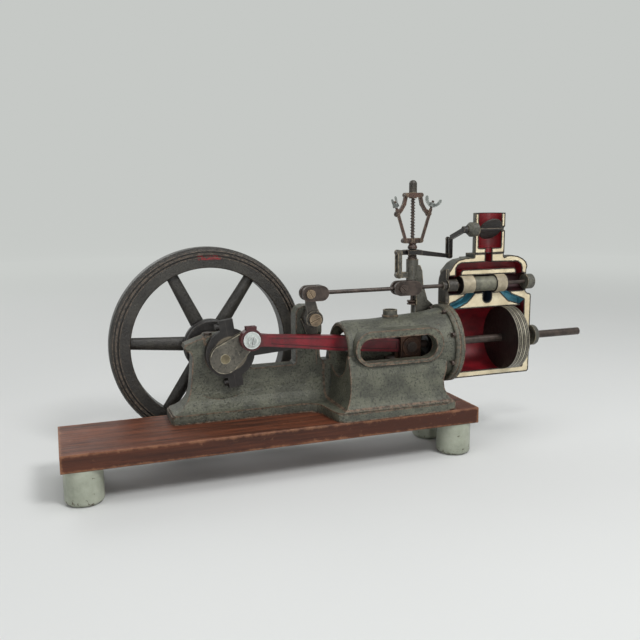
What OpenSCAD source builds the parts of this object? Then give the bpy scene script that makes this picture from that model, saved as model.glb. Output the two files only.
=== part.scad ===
// Sectioned model steam engine on a wooden board. Units are millimetres.
// Modules are drawn in the board frame: x runs along the board from the crank end to the cylinder end,
// y runs from the front edge to the back, z is up from the ground. place() moves them to the part's origin.

/* [Board] */
// Length of the wooden board
board_l = 400; // [392:1:410]
// Width of the wooden board
board_w = 89; // [89:1:94]
// Thickness of the wooden board
board_t = 16; // [12:1:22]
// Diameter of each round foot
foot_d = 34; // [24:1:34.4]
// Height of each round foot
foot_h = 32.5; // [20:0.5:45]

/* [Crank] */
// Diameter of the main shaft
shaft_d = 16; // [13:0.5:17]
// Distance from the shaft to the crank pin, half the piston stroke
crank_throw = 30; // [28:0.5:31]
// Crank angle above the horizontal at rest
crank_angle = 36.7; // [30:0.1:42]
// Outer diameter of the flywheel
flywheel_d = 201.6; // [180:0.1:204]
// Inner diameter of the flywheel rim
flywheel_inner_d = 160; // [140:1:168]
// Width of the flywheel rim
flywheel_w = 19; // [12:1:24]
// Number of flywheel spokes
spoke_count = 6; // [4:1:8]

/* [Eccentric] */
// Diameter of the eccentric sheave
sheave_d = 34.4; // [32:0.2:35]
// Offset of the sheave from the shaft
eccentricity = 7.5; // [5:0.5:8]
// Running clearance around the sheave
sheave_gap = 0.06; // [0.03:0.01:0.1]

/* [Cylinder] */
// Bore of the cylinder
bore_d = 67; // [60:1:68]
// Outer diameter of the cylinder wall
cylinder_d = 80.6; // [78:0.2:84]
// Diameter of the piston
piston_d = 66.9; // [59.9:0.1:67.9]
// Diameter of the piston rod
piston_rod_d = 8; // [6:0.5:8]
// Bore of the slide valve chamber
valve_bore_d = 18.6; // [17.6:0.2:19]
// Diameter of the valve lands
valve_land_d = 18.5; // [17.5:0.1:18.9]
// Diameter of the round flanges between guide and cylinder
flange_d = 80; // [78:1:82]

/* [Governor] */
// Number of coils in the governor spring
spring_coils = 13; // [8:1:16]

/* [Hidden] */
$fn = 64;
board_z = foot_h;
top_z = board_z + board_t;
axis_y = 44.5;
axis_z = top_z + 60.1;
shaft_x = 153.5;
overall_l = 551.5;
overall_w = 150;

// Crank geometry
pin_x = shaft_x + crank_throw * cos(crank_angle);
pin_z = axis_z + crank_throw * sin(crank_angle);
rod_l = 165.5;
cross_x = pin_x + sqrt(rod_l * rod_l - (pin_z - axis_z) * (pin_z - axis_z));
rod_angle = asin((pin_z - axis_z) / rod_l);
rod_y0 = 40.5;
rod_y1 = 48.5;
web_y0 = 49;
web_y1 = 55;
sheave_y0 = 55.5;
sheave_y1 = 61.5;
sheave_angle = 28;
sheave_x = shaft_x + eccentricity * cos(sheave_angle);
sheave_z = axis_z + eccentricity * sin(sheave_angle);
wall_y0 = 63;
wall_y1 = 79;
wheel_y0 = 121;
wheel_y1 = wheel_y0 + flywheel_w;
wheel_turn = -4;

// Guide and cylinder stations
guide_bore_r = 25;
guide_x0 = 265;
tube_x0 = 266.4;
flange_x0 = 376;
flange_x1 = 381;
cover_x1 = 386;
bore_x0 = 390;
bore_x1 = 480;
block_x1 = 488.5;
piston_x = cross_x + 109.5;
piston_w = 14.5;

// Valve gear
rocker_x = 240.7;
rocker_z = 142;
rocker_l = 26;
rocker_lean = 11;
top_pin_x = rocker_x - rocker_l * sin(rocker_lean);
top_pin_z = rocker_z + rocker_l * cos(rocker_lean);
low_pin_x = rocker_x + rocker_l * sin(rocker_lean);
low_pin_z = rocker_z - rocker_l * cos(rocker_lean);
valve_z = top_pin_z;
fork_x = 333.5;

// Governor
gov_x = 362.5;
gov_y = 77;
gov_top_z = 259.7;
gov_low_z = 212.5;
top_out = 8;
low_out = 9.1;
elbow_out = 18;
elbow_z = 240.3;
arm_tilt = 17.8;
spindle_r = 1.6;
lever_z = 200.5;
lever_pin_x = 346.5;
lever_end_x = 406;
lever_end_z = 195;
swing_z = 177;
throttle_x = 435.8;
duct_x = 434.65;
throttle_z = 224.2;
arm_end_z = 213;
flap_angle = -52;

// ---------- helpers ----------
module place() { translate([-overall_l / 2, -overall_w / 2, 0]) children(); }

// cylinder along y from y0 to y1
module ycyl(x, z, y0, y1, r) { translate([x, y0, z]) rotate([-90, 0, 0]) cylinder(h = y1 - y0, r = r); }

// cylinder along x from x0 to x1
module xcyl(y, z, x0, x1, r) { translate([x0, y, z]) rotate([0, 90, 0]) cylinder(h = x1 - x0, r = r); }

// cylinder along z from z0 to z1
module zcyl(x, y, z0, z1, r) { translate([x, y, z0]) cylinder(h = z1 - z0, r = r); }

// profile drawn in x and z, swept from y0 to y1
module xz_plate(points, y0, y1) {
  translate([0, y1, 0]) rotate([90, 0, 0]) linear_extrude(y1 - y0) polygon(points);
}

// profile drawn in y and z, swept from x0 to x1
module yz_plate(points, x0, x1) {
  translate([x0, 0, 0]) rotate([90, 0, 90]) linear_extrude(x1 - x0) polygon(points);
}

// box given by its two corners
module box(a, b) { translate(a) cube([b[0] - a[0], b[1] - a[1], b[2] - a[2]]); }

// flat bar in the x z plane from one point to another with square ends
module bar_xz(x0, z0, x1, z1, h, y0, y1) {
  len = sqrt((x1 - x0) * (x1 - x0) + (z1 - z0) * (z1 - z0));
  ang = atan2(z1 - z0, x1 - x0);
  translate([x0, 0, z0]) rotate([0, -ang, 0]) box([0, y0, -h / 2], [len, y1, h / 2]);
}

// flat bar in the x z plane whose height changes from h0 to h1
module taper_xz(x0, z0, x1, z1, h0, h1, y0, y1) {
  len = sqrt((x1 - x0) * (x1 - x0) + (z1 - z0) * (z1 - z0));
  ang = atan2(z1 - z0, x1 - x0);
  translate([x0, 0, z0]) rotate([0, -ang, 0])
    xz_plate([[0, -h0 / 2], [len, -h1 / 2], [len, h1 / 2], [0, h0 / 2]], y0, y1);
}

// round rod in the x z plane
module rod_xz(x0, z0, x1, z1, y, r) {
  len = sqrt((x1 - x0) * (x1 - x0) + (z1 - z0) * (z1 - z0));
  ang = atan2(z1 - z0, x1 - x0);
  translate([x0, y, z0]) rotate([0, 90 - ang, 0]) cylinder(h = len, r = r);
}

// ---------- board ----------
board_chamfer = 0.8;
module base_board() color([0.42, 0.22, 0.16]) place()
  yz_plate([[board_chamfer, board_z], [board_w - board_chamfer, board_z],
    [board_w, board_z + board_chamfer],
            [board_w, top_z - board_chamfer], [board_w - board_chamfer, top_z], [board_chamfer, top_z],
            [0, top_z - board_chamfer], [0, board_z + board_chamfer]], 0, board_l);

foot_inset_x = 18.7;
foot_inset_y = 17.3;
foot_round = 4;
module foot() rotate_extrude() {
  square([foot_d / 2 - foot_round, foot_h]);
  translate([0, foot_round]) square([foot_d / 2, foot_h - foot_round]);
  translate([foot_d / 2 - foot_round, foot_round]) circle(foot_round);
}
module board_feet() color([0.66, 0.70, 0.62]) place()
  for (x = [foot_inset_x, board_l - foot_inset_x])
    for (y = [foot_inset_y, board_w - foot_inset_y]) translate([x, y, 0]) foot();

// ---------- bed casting ----------
flange_h = 9;
bed_z = 94.5;
function flange_outline() = [
  [101.5, 53], [103, 50.5], [107, 49.5], [230, 48], [237, 46.5], [242.5, 42.5], [245.5, 37], [246.8, 28],
  [247.6, 19], [249, 9], [251, 3.5], [255, 0.8], [262, 0], [363, 0], [370, 2.5], [374.5, 8], [375.5, 14],
  [375.5, 75], [374.5, 81], [370, 86.5], [363, 89], [107, 89], [103, 88], [101.5, 84]
];
module bed_flange() {
  translate([0, 0, top_z]) linear_extrude(flange_h - 1.2) polygon(flange_outline());
  translate([238, 44.5, top_z]) scale([0.988, 0.97, 1]) translate([-238, -44.5, 0])
    linear_extrude(flange_h) polygon(flange_outline());
}
// front and back outline of the wall that carries the shaft and the rocker
function wall_section(z1) = [
  [50, top_z + 1], [50.5, top_z + 9], [54, top_z + 10.5], [58, top_z + 14], [61, top_z + 19],
  [wall_y0 - 0.6, top_z + 26], [wall_y0, top_z + 36], [wall_y0, z1], [wall_y1, z1], [wall_y1, top_z + 36],
  [wall_y1 + 0.4, top_z + 26], [wall_y1 + 2, top_z + 19], [wall_y1 + 5, top_z + 14], [88, top_z + 9],
    [88, top_z + 1]
];
// side outline of the same wall
function wall_profile() = [
  [104, top_z + 1], [104, top_z + 9], [109, top_z + 10.7], [113.8, top_z + 14], [116.8, top_z + 17.7],
  [119.8, top_z + 22.3], [122, top_z + 30], [123.6, top_z + 44.6], [125, top_z + 61], [123, top_z + 66],
  [119.4, top_z + 67], [117.2, top_z + 70.3], [118.4, top_z + 73.6], [136, top_z + 79.8],
    [173, top_z + 79.8],
  [176.5, top_z + 62], [180, bed_z + 2], [184, bed_z], [226, bed_z], [228, bed_z + 2], [228.3, 146.3],
  [231.5, 151], [236.7, 153], [246, 152.5], [252, 148.5], [255.2, 141], [255.4, bed_z + 4],
    [257, bed_z + 1.5],
  [266, bed_z + 1.5], [266, top_z + 1]
];
// section of the block under the guide
function guide_section() = [
  [1.5, top_z + 1], [1.5, top_z + flange_h], [3.2, top_z + 10.5], [5.5, top_z + 14], [7.4, top_z + 20],
  [8.5, top_z + 28], [9.5, top_z + 40], [12.5, top_z + 52], [15.5, axis_z], [73.5, axis_z],
    [76.5, top_z + 52],
  [79.5, top_z + 40], [80.5, top_z + 28], [81.6, top_z + 20], [83.5, top_z + 14], [85.8, top_z + 10.5],
  [87.5, top_z + flange_h], [87.5, top_z + 1]
];
function guide_profile() = [
  [255, top_z + 1], [255, top_z + flange_h], [259, top_z + 11], [262, top_z + 16], [264, top_z + 22],
  [guide_x0, top_z + 30], [guide_x0, axis_z], [372, axis_z], [368, top_z + 40], [364.5, top_z + 30],
  [365, top_z + 22], [367, top_z + 16], [370.5, top_z + 11], [374.5, top_z + flange_h], [374.5, top_z + 1]
];
window_x0 = 275;
window_x1 = 357;
window_z = 113.5;
window_r = 11.75;
boss_r = 17;
module guide_tube_outside() {
  translate([0, axis_y, axis_z]) rotate([0, 90, 0]) rotate_extrude()
    polygon([[0, tube_x0], [27.4, tube_x0], [28.4, tube_x0 + 1], [28.6, 274], [30, 308], [31.5, 330],
      [32.5, 347],
             [34, 364], [35.4, 372], [36.5, flange_x0 + 0.5], [flange_d / 2 - 1, flange_x0 + 0.5],
             [flange_d / 2, flange_x0 + 1.5], [flange_d / 2, flange_x1], [0, flange_x1]]);
}
// rounded slot along x, cut or boss, from y0 to y1
module slot_y(x0, x1, z, r, y0, y1) {
  ycyl(x0 + r, z, y0, y1, r);
  ycyl(x1 - r, z, y0, y1, r);
  box([x0 + r, y0, z - r], [x1 - r, y1, z + r]);
}
// the bed and the guide are one casting, cut here into two solids that meet face to face
cut_x = 257;
module guide_region() box([cut_x, -10, top_z + flange_h + 0.6], [400, 110, 300]);
module bed_casting() color([0.36, 0.38, 0.33]) place() difference() {
  casting();
  guide_region();
}
module guide_casting() color([0.36, 0.38, 0.33]) place() intersection() {
  casting();
  guide_region();
}
module casting() difference() {
  union() {
    bed_flange();
    intersection() {
      xz_plate(wall_profile(), 49, 89);
      yz_plate(wall_section(160), 101, 266);
    }
    ycyl(shaft_x, axis_z, wall_y0 - 0.6, wall_y1 + 6, 17);
    intersection() {
      xz_plate(guide_profile(), 0, 89);
      yz_plate(guide_section(), 250, 376);
    }
    guide_tube_outside();
    slot_y(270.5, 364.5, 115.3, boss_r, 9, 80);
    zcyl(322, axis_y, axis_z + 28, axis_z + 32.6, 8.2);
  }
  // bore for the crosshead, open at the crank end and stopped at the flange
  xcyl(axis_y, axis_z, 250, 367, guide_bore_r);
  xcyl(axis_y, axis_z, 360, 385, 12);
  // windows at the front and the back
  slot_y(window_x0, window_x1, window_z, window_r, -1, 90);
  // seat of the shaft bush and of its cap
  ycyl(shaft_x, axis_z, wall_y0 - 2, wall_y1 + 8, shaft_d / 2 + 3);
  box([136.9, wall_y0 - 1, axis_z + 12], [170.1, wall_y1 + 8, axis_z + 40]);
  box([shaft_x - shaft_d / 2 - 3, wall_y0 - 1, axis_z],
    [shaft_x + shaft_d / 2 + 3, wall_y1 + 8, axis_z + 20]);
  // clearance for the swing of the eccentric strap
  ycyl(shaft_x, axis_z, wall_y0 - 14, wall_y0 - 0.95, 41.6);
  // hole for the rocker screw
  ycyl(rocker_x, rocker_z, wall_y0 - 1, wall_y0 + 10, 3);
  // hole under the oil cup
  zcyl(322, axis_y, axis_z + 20, axis_z + 40, 2);
  // seats of the flange screws
  screw_ring(flange_x0 - 6, flange_x0 + 0.52, 2.34);
}

module main_bearing() color([0.55, 0.45, 0.28]) place() difference() {
  ycyl(shaft_x, axis_z, wall_y0 - 0.4, wall_y1 + 6, shaft_d / 2 + 2.9);
  ycyl(shaft_x, axis_z, wall_y0 - 2, wall_y1 + 8, shaft_d / 2 + 0.05);
}

cap_top = axis_z + 20.7;
module bearing_cap() color([0.34, 0.35, 0.31]) place() difference() {
  union() {
    xz_plate([[137, axis_z + 12], [137, axis_z + 18.6], [139, cap_top], [168, cap_top],
      [170, axis_z + 18.6],
              [170, axis_z + 12]], wall_y0 - 0.6, wall_y1 + 5);
    box([shaft_x - shaft_d / 2 - 2.9, wall_y0, axis_z + 4],
      [shaft_x + shaft_d / 2 + 2.9, wall_y1 + 5, axis_z + 13]);
  }
  ycyl(shaft_x, axis_z, wall_y0 - 2, wall_y1 + 8, shaft_d / 2 + 2.91);
  for (x = [141.6, 165.4]) {
    zcyl(x, 71, axis_z + 10, axis_z + 40, 1.9);
    zcyl(x, 71, cap_top - 1, cap_top + 4, 4.1);
  }
}
module bearing_cap_screws() color([0.30, 0.29, 0.27]) place() for (x = [141.6, 165.4]) {
  zcyl(x, 71, axis_z + 12.1, cap_top - 1, 1.85);
  zcyl(x, 71, cap_top - 1, cap_top + 2.2, 4);
}

module guide_oil_cup() color([0.36, 0.35, 0.30]) place() difference() {
  union() {
    zcyl(322, axis_y, axis_z + 30, axis_z + 33, 1.9);
    zcyl(322, axis_y, axis_z + 32.6, axis_z + 38, 7.2);
  }
  zcyl(322, axis_y, axis_z + 34.5, axis_z + 40, 5.6);
  zcyl(322, axis_y, axis_z + 28, axis_z + 36, 0.9);
}

// ---------- cylinder end ----------
module half_space() box([200, axis_y, 0], [560, 120, 300]);

module cylinder_cover() color([0.36, 0.38, 0.33]) place() difference() {
  union() {
    translate([0, axis_y, axis_z]) rotate([0, 90, 0]) rotate_extrude()
      polygon([[0, flange_x1 + 0.02], [flange_d / 2 - 0.8, flange_x1 + 0.02],
        [flange_d / 2, flange_x1 + 0.8],
               [flange_d / 2, cover_x1], [0, cover_x1]]);
    intersection() {
      xcyl(axis_y, axis_z, cover_x1, bore_x0, bore_d / 2 - 0.05);
      half_space();
    }
  }
  xcyl(axis_y, axis_z, flange_x0, bore_x0 + 1, piston_rod_d / 2 + 0.05);
}

screw_circle = 37;
module screw_ring(x0, x1, r)
  for (a = [22.5:45:337.5]) xcyl(axis_y + screw_circle * cos(a), axis_z + screw_circle * sin(a), x0, x1, r);
module flange_screws() color([0.30, 0.29, 0.26]) place()
  for (a = [22.5:45:337.5]) {
    y = axis_y + screw_circle * cos(a);
    z = axis_z + screw_circle * sin(a);
    difference() {
      xcyl(y, z, flange_x0 - 2.2, flange_x0 + 0.5, 2.3);
      box([flange_x0 - 3, y - 3, z - 0.4], [flange_x0 - 1.2, y + 3, z + 0.4]);
    }
  }

module front_gland() color([0.50, 0.42, 0.27]) place() difference() {
  union() {
    xcyl(axis_y, axis_z, 366, flange_x1, 11.9);
    xcyl(axis_y, axis_z, 362, 366, 9);
  }
  xcyl(axis_y, axis_z, 358, flange_x1 + 1, piston_rod_d / 2 + 0.05);
}

chest_y1 = axis_y + 28;
function block_outline() = [
  [cover_x1, axis_z - cylinder_d / 2], [486.5, axis_z - cylinder_d / 2],
    [block_x1, axis_z - cylinder_d / 2 + 2],
  [block_x1, 152.5], [486.8, 154.4], [483.6, 155], [481.5, 157], [481.5, 179.8], [482.9, 183.8],
    [481, 188.6],
  [476.5, 192.3], [470.5, 195], [463, 196.2], [458, 196], [453.8, 194.2], [453, 196], [453, 199],
    [417.8, 199],
  [417.8, 195.3], [407, 195], [399, 193.2], [394.4, 189.6], [391, 184.6], [387.9, 181], [387.9, 149],
  [cover_x1, 149]
];
module block_section() {
  xcyl(axis_y, axis_z, cover_x1, block_x1, cylinder_d / 2);
  xcyl(axis_y + 3.5, valve_z + 14.5, cover_x1, block_x1, 14.6);
  box([cover_x1, axis_y, axis_z + 20], [block_x1, axis_y + 18, valve_z + 14.5]);
  box([cover_x1, axis_y, valve_z], [block_x1, axis_y + 3.5, valve_z + 29]);
  box([410, axis_y, valve_z], [458, axis_y + 17.9, 200]);
}
// a passage drawn on the section face and cut into the metal
module passage(points, depth) xz_plate(points, axis_y - 1, axis_y + depth);
module cylinder_block() color([0.86, 0.79, 0.66]) place() difference() {
  intersection() {
    xz_plate(block_outline(), axis_y, chest_y1 + 20);
    block_section();
  }
  xcyl(axis_y, axis_z, bore_x0 - 6, bore_x1, bore_d / 2);
  xcyl(axis_y, axis_z, bore_x1 - 1, block_x1 + 1, piston_rod_d / 2 + 0.6);
  xcyl(axis_y, valve_z, 385, 479, valve_bore_d / 2);
  xcyl(axis_y, valve_z, 478, 495, 8.25);
  // live steam duct and its two legs
  passage([[396.5, valve_z + 8], [396.5, 184.5], [399, 188.2], [403, 189.8], [431, 190], [431, 206],
    [438.3, 206],
           [438.3, 190], [470, 189.2], [474.6, 186.2], [476, 182], [476, valve_z + 8], [468.7, valve_z + 8],
           [468.7, 180.5], [466.7, 183], [404.5, 183], [402.2, 180.5], [402.2, valve_z + 8]], 12);
  // steam ports to the two ends of the bore
  passage([[413, valve_z - 7], [413, 161.8], [406.6, 155], [396.8, 150.6], [390, 148.4], [390, 140],
    [395.4, 140],
           [395.4, 142.8], [401.4, 144.8], [410.6, 149], [419.4, 158], [419.4, valve_z - 7]], 13);
  passage([[450.4, valve_z - 7], [450.4, 157.6], [460.2, 148.2], [469.8, 145.4], [475, 143.4],
    [475, 138], [480, 138],
           [480, 148.4], [473.2, 151.2], [464, 154.6], [457, 160.9], [457, valve_z - 7]], 13);
  // exhaust
  box([429.5, axis_y - 1, 152.5], [439.2, axis_y + 14, valve_z]);
  ycyl(434.35, 152.5, axis_y - 1, axis_y + 14, 4.84);
}

module rear_gland() color([0.33, 0.33, 0.30]) place() difference() {
  translate([0, axis_y, axis_z]) rotate([0, 90, 0]) rotate_extrude()
    polygon([[0, block_x1 + 0.02], [10.9, block_x1 + 0.02], [10.9, 492.6], [10.5, 493.7], [9.4, 494.2],
      [0, 494.2]]);
  xcyl(axis_y, axis_z, block_x1 - 1, 504, piston_rod_d / 2 + 0.05);
}

// half plate on the chest with the full round gland of the valve rod
module chest_cover() color([0.20, 0.19, 0.17]) place() difference() {
  union() {
    intersection() {
      union() {
        xcyl(axis_y, valve_z, 385.2, 387.88, 16.8);
        box([385.2, axis_y, 149.3], [387.88, axis_y + 16.6, valve_z]);
      }
      box([380, axis_y, 149.3], [400, 80, 200]);
    }
    xcyl(axis_y, valve_z, 385.1, 396.2, 6.3);
    xcyl(axis_y, valve_z, 380.4, 385.2, 4.3);
  }
  xcyl(axis_y, valve_z, 379, 398, 2.05);
}

module valve_rear_cap() color([0.35, 0.36, 0.33]) place() difference() {
  translate([0, axis_y, valve_z]) rotate([0, 90, 0]) rotate_extrude()
    polygon([[0, 479.1], [8, 479.1], [8, 487.2], [7.4, 488.2], [0, 488.2]]);
  xcyl(axis_y, valve_z, 470, 490, 2.05);
}

module throttle_housing() color([0.72, 0.64, 0.52]) place() difference() {
  intersection() {
    zcyl(throttle_x, axis_y, 199.02, 240.7, 17.8);
    half_space();
  }
  zcyl(throttle_x, axis_y, 204.7, 242, 13.5);
  zcyl(duct_x, axis_y, 198, 207, 3.7);
  xcyl(axis_y, throttle_z, 410, 460, 2.05);
}

module throttle_gland() color([0.40, 0.40, 0.36]) place() difference() {
  translate([0, axis_y, throttle_z]) rotate([0, 90, 0]) rotate_extrude()
    polygon([[0, 408.4], [4.6, 408.4], [7.5, 411.9], [7.5, 419.5], [0, 419.5]]);
  zcyl(throttle_x, axis_y, 210, 240, 17.82);
  xcyl(axis_y, throttle_z, 400, 420, 2.05);
}

// ---------- governor bracket ----------
bracket_r = 6.4;
module governor_bracket() color([0.30, 0.29, 0.25]) place() difference() {
  union() {
    // sloping column from the guide to the bearing
    xz_plate([[364, 130], [388, 130], [386, 143], [378, 150], [373, 166], [371.5, 181], [369, 187],
              [gov_x - 3, 187], [gov_x - 3, 178], [365, 170], [364.5, 150]], gov_y - 6, gov_y + 6);
    zcyl(gov_x, gov_y, 168, 193.2, bracket_r);
    // arm that holds the swing link
    box([lever_pin_x - 1, gov_y - 2.5, swing_z - 3], [gov_x, gov_y + 2.5, swing_z + 3]);
    ycyl(lever_pin_x, swing_z, gov_y - 2.5, gov_y + 2.5, 3.6);
    // foot on the guide
    box([364.6, gov_y - 12, 120], [384, gov_y + 8, 134]);
  }
  xcyl(axis_y, axis_z, 350, 376.4, 36.6);
  xcyl(axis_y, axis_z, flange_x0 + 0.02, 400, flange_d / 2 + 0.05);
  screw_ring(flange_x0 - 6, flange_x0 + 2, 2.8);
  zcyl(gov_x, gov_y, 144.4, 150.2, 5.7);
  zcyl(gov_x, gov_y, 130, 200, spindle_r + 0.05);
  zcyl(gov_x, gov_y, 130, 168, 3.2);
  ycyl(lever_pin_x, swing_z, gov_y - 4, gov_y + 4, 1.55);
}

module rocker_pivot_screw() color([0.62, 0.58, 0.50]) place() difference() {
  union() {
    ycyl(rocker_x, rocker_z, 38, 41, 6);
    ycyl(rocker_x, rocker_z, 40.9, 62.95, 4);
    ycyl(rocker_x, rocker_z, 62.9, 72, 2.95);
  }
  translate([rocker_x, 0, rocker_z]) rotate([0, -24, 0]) box([-7, 37, -0.5], [7, 39, 0.5]);
}

// ---------- crankshaft ----------
module crankshaft() color([0.42, 0.40, 0.36]) place() {
  ycyl(shaft_x, axis_z, 48.6, web_y1 + 0.02, 4.4);
  ycyl(shaft_x, axis_z, web_y1 + 0.02, 149, shaft_d / 2);
  ycyl(shaft_x, axis_z, 149, 150, shaft_d / 2 - 1);
}
// outline of the crank web: a large round end on the shaft and a small one at the pin
web_big_r = 14.3;
web_small_r = 9;
module crank_web() color([0.36, 0.36, 0.33]) place() difference() {
  union() {
    ycyl(shaft_x, axis_z, web_y0, web_y1, web_big_r);
    ycyl(pin_x, pin_z, web_y0, web_y1, web_small_r);
    translate([shaft_x, 0, axis_z]) rotate([0, -crank_angle, 0])
      xz_plate([[web_tan_x0, -web_tan_z0], [web_tan_x1, -web_tan_z1], [web_tan_x1, web_tan_z1],
                [web_tan_x0, web_tan_z0]], web_y0 + 0.12, web_y1 - 0.12);
  }
  ycyl(shaft_x, axis_z, web_y0 - 1, web_y1 + 1, 4.42);
}
web_slope = asin((web_big_r - web_small_r) / crank_throw);
web_tan_x0 = web_big_r * sin(web_slope);
web_tan_z0 = web_big_r * cos(web_slope) - 0.15;
web_tan_x1 = crank_throw + web_small_r * sin(web_slope);
web_tan_z1 = web_small_r * cos(web_slope) - 0.15;

wheel_mid = (wheel_y0 + wheel_y1) / 2;
module flywheel() color([0.27, 0.27, 0.24]) place() {
  difference() {
    union() {
      translate([shaft_x, 0, axis_z]) rotate([-90, 0, 0]) rotate_extrude($fn = 128)
        polygon([[flywheel_inner_d / 2, wheel_y0 + 1], [flywheel_inner_d / 2 + 1, wheel_y0],
                 [91.5, wheel_y0], [91.5, wheel_y0 + 2], [93.3, wheel_y0 + 2], [93.3, wheel_y0 + 0.2],
                 [95.4, wheel_y0 + 0.2], [95.4, wheel_y0 + 1.6], [97, wheel_y0 + 1.6], [97, wheel_y0 + 0.6],
                 [flywheel_d / 2 - 1.4, wheel_y0 + 1.2], [flywheel_d / 2, wheel_y0 + 3.6],
                 [flywheel_d / 2, wheel_y1 - 2], [flywheel_d / 2 - 1.4, wheel_y1 - 0.4],
                 [flywheel_inner_d / 2 + 1, wheel_y1], [flywheel_inner_d / 2, wheel_y1 - 1]]);
      ycyl(shaft_x, axis_z, 125.05, 146, 19);
      for (i = [0:spoke_count - 1])
        translate([shaft_x, wheel_mid, axis_z]) rotate([0, -i * 360 / spoke_count - wheel_turn, 0])
          scale([1, 0.62, 1]) translate([0, 0, 0]) rotate([0, 90, 0])
            translate([0, 0, 12]) cylinder(h = flywheel_inner_d / 2 - 11, r1 = 7.6, r2 = 6);
    }
    ycyl(shaft_x, axis_z, 120, 150, shaft_d / 2 + 0.02);
  }
}

module governor_drive_pulley() color([0.10, 0.10, 0.10]) place() difference() {
  translate([shaft_x, 0, axis_z]) rotate([-90, 0, 0]) rotate_extrude()
    polygon([[0, 109], [26.5, 109], [27.5, 110], [27.5, 111.5], [24.5, 114.5], [24.5, 116.5], [27.5, 119.5],
             [27.5, 124], [26.5, 125], [0, 125]]);
  ycyl(shaft_x, axis_z, 108, 130, shaft_d / 2 + 0.02);
}

module eccentric_sheave() color([0.80, 0.72, 0.56]) place() difference() {
  ycyl(sheave_x, sheave_z, sheave_y0, sheave_y1, sheave_d / 2);
  ycyl(shaft_x, axis_z, sheave_y0 - 1, sheave_y1 + 1, shaft_d / 2 + 0.02);
}

// ---------- connecting rod ----------
module along_rod() translate([cross_x, 0, axis_z]) rotate([0, rod_angle, 0]) mirror([1, 0, 0]) children();
big_r = 10.6;
module connecting_rod() color([0.52, 0.10, 0.16]) place() difference() {
  union() {
    ycyl(pin_x, pin_z, rod_y0, rod_y1, big_r);
    ycyl(cross_x, axis_z, rod_y0 + 0.5, rod_y1 - 0.5, 7.3);
    along_rod() difference() {
      xz_plate([[4.5, -6.6], [45, -7.2], [80, -7.5], [118, -6.2], [148, -5.6], [rod_l - 6.5, -6.2],
                [rod_l - 6.5, 6.2], [148, 5.6], [118, 6.2], [80, 7.5], [45, 7.2],
                  [4.5, 6.6]], rod_y0 + 0.25, rod_y1 - 0.25);
      for (y = [rod_y0 - 1, rod_y1 - 1])
        xz_plate([[14, -3.8], [80, -4.6], [118, -3.6], [146, -3], [146, 3], [118, 3.6], [80, 4.6],
          [14, 3.8]], y, y + 2);
    }
    // oil boss on the big end
    xz_plate([[pin_x - 5, pin_z + 7], [pin_x + 5, pin_z + 7], [pin_x + 5, pin_z + 12.8],
              [pin_x - 5, pin_z + 12.8]], rod_y0 + 0.4, rod_y1 - 0.4);
  }
  ycyl(pin_x, pin_z, rod_y0 - 1, rod_y1 + 1, 5.02);
  ycyl(cross_x, axis_z, rod_y0 - 1, rod_y1 + 1, 4.05);
  zcyl(pin_x, (rod_y0 + rod_y1) / 2, pin_z, pin_z + 20, 1.5);
}
module crank_pin_screw() color([0.62, 0.62, 0.58]) place() difference() {
  union() {
    ycyl(pin_x, pin_z, 36.2, 38.98, 4.25);
    ycyl(pin_x, pin_z, 38.9, 40.5, 2.4);
    ycyl(pin_x, pin_z, 40.5, 48.7, 4.98);
  }
  translate([pin_x, 0, pin_z]) rotate([0, -75, 0]) box([-5, 35, -0.4], [5, 37.4, 0.4]);
}
module crank_pin_washer() color([0.74, 0.76, 0.74]) place() difference() {
  ycyl(pin_x, pin_z, 39, 40.48, 8.2);
  ycyl(pin_x, pin_z, 38, 41, 2.42);
}

// ---------- crosshead, piston ----------
cheek = 3.2;
head_x1 = 10.5;
module crosshead() color([0.38, 0.28, 0.20]) place() difference() {
  intersection() {
    xcyl(axis_y, axis_z, cross_x - 16.5, cross_x + head_x1, guide_bore_r - 0.08);
    union() {
      box([cross_x - 16.5, 0, axis_z + 14], [cross_x + head_x1, 90, axis_z + 30]);
      box([cross_x - 16.5, 0, axis_z - 30], [cross_x + head_x1, 90, axis_z - 14]);
      box([cross_x - 11, rod_y0 - 0.3 - cheek, axis_z - 20],
        [cross_x + head_x1, rod_y0 - 0.3, axis_z + 20]);
      box([cross_x - 11, rod_y1 + 0.3, axis_z - 20],
        [cross_x + head_x1, rod_y1 + 0.3 + cheek, axis_z + 20]);
      box([cross_x + 4, rod_y0 - 4, axis_z - 20], [cross_x + head_x1, rod_y1 + 4, axis_z + 20]);
      ycyl(cross_x, axis_z, rod_y0 - 5.2, rod_y1 + 5.2, 9.6);
    }
  }
  // room for the small end, which swings between the cheeks
  box([cross_x - 20, rod_y0 - 0.3, axis_z - 13.9], [cross_x + 3.9, rod_y1 + 0.3, axis_z + 13.9]);
  translate([0, rod_y0 - 0.3, 0]) ycyl(cross_x, axis_z, 0, rod_y1 - rod_y0 + 0.6, 7.8);
  ycyl(cross_x, axis_z, 10, 90, 4.05);
}
module crosshead_pin() color([0.50, 0.46, 0.38]) place() {
  ycyl(cross_x, axis_z, rod_y0 - 5.3, rod_y1 + 5.3, 4);
  ycyl(cross_x, axis_z, rod_y0 - 6.6, rod_y0 - 5.22, 5.2);
  ycyl(cross_x, axis_z, rod_y1 + 5.22, rod_y1 + 6.6, 5.2);
}
module piston_rod() color([0.42, 0.40, 0.35]) place() {
  xcyl(axis_y, axis_z, cross_x + head_x1 + 0.02, piston_x, piston_rod_d / 2);
  xcyl(axis_y, axis_z, piston_x, piston_x + piston_w, piston_rod_d / 2);
  xcyl(axis_y, axis_z, piston_x + piston_w, overall_l, piston_rod_d / 2);
}
ring_w = 1.8;
ring_x = [2, 6.4, 10.8];
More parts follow.
